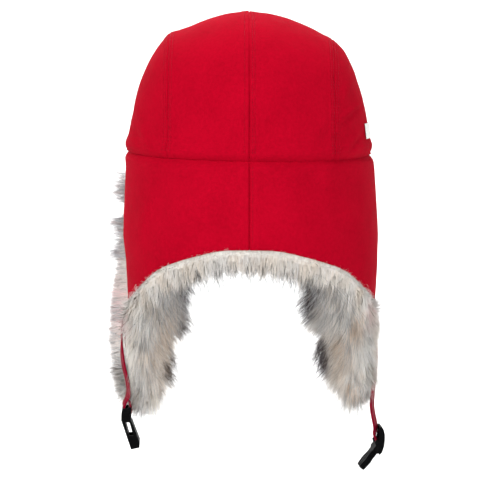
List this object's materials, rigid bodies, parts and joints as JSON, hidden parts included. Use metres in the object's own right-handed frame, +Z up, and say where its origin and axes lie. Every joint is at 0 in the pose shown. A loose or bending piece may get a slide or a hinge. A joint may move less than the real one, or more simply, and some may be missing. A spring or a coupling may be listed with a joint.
{
  "type": "earflap cap",
  "caption": "Cotton trapper cap with a panelled crown, a neck guard with ear flaps lined in long fur, and webbing chin straps with a clip.",
  "frame": {"origin": "middle of the head opening, at the seam between crown and guard", "axes": "+Z up through the crown, +Y towards the back of the head, +X towards the wearer's left"},
  "size_m": [0.2184, 0.2353, 0.3768],
  "materials": {
    "red_cotton": "matte cotton twill",
    "fur": "long light grey-beige fur",
    "webbing": "woven red webbing",
    "black_plastic": "satin moulded plastic",
    "white_tape": "plain white woven tape"
  },
  "bodies": {
    "root": {"crown_side_left": "red_cotton", "crown_top_left": "red_cotton", "crown_top_right": "red_cotton", "crown_side_right": "red_cotton", "guard_left": "red_cotton", "guard_right": "red_cotton", "fur_left": "fur", "fur_right": "fur", "strap_left": "webbing", "strap_right": "webbing", "clip_socket": "black_plastic", "clip_tongue": "black_plastic", "side_tag": "white_tape"}
  },
  "joints": []
}
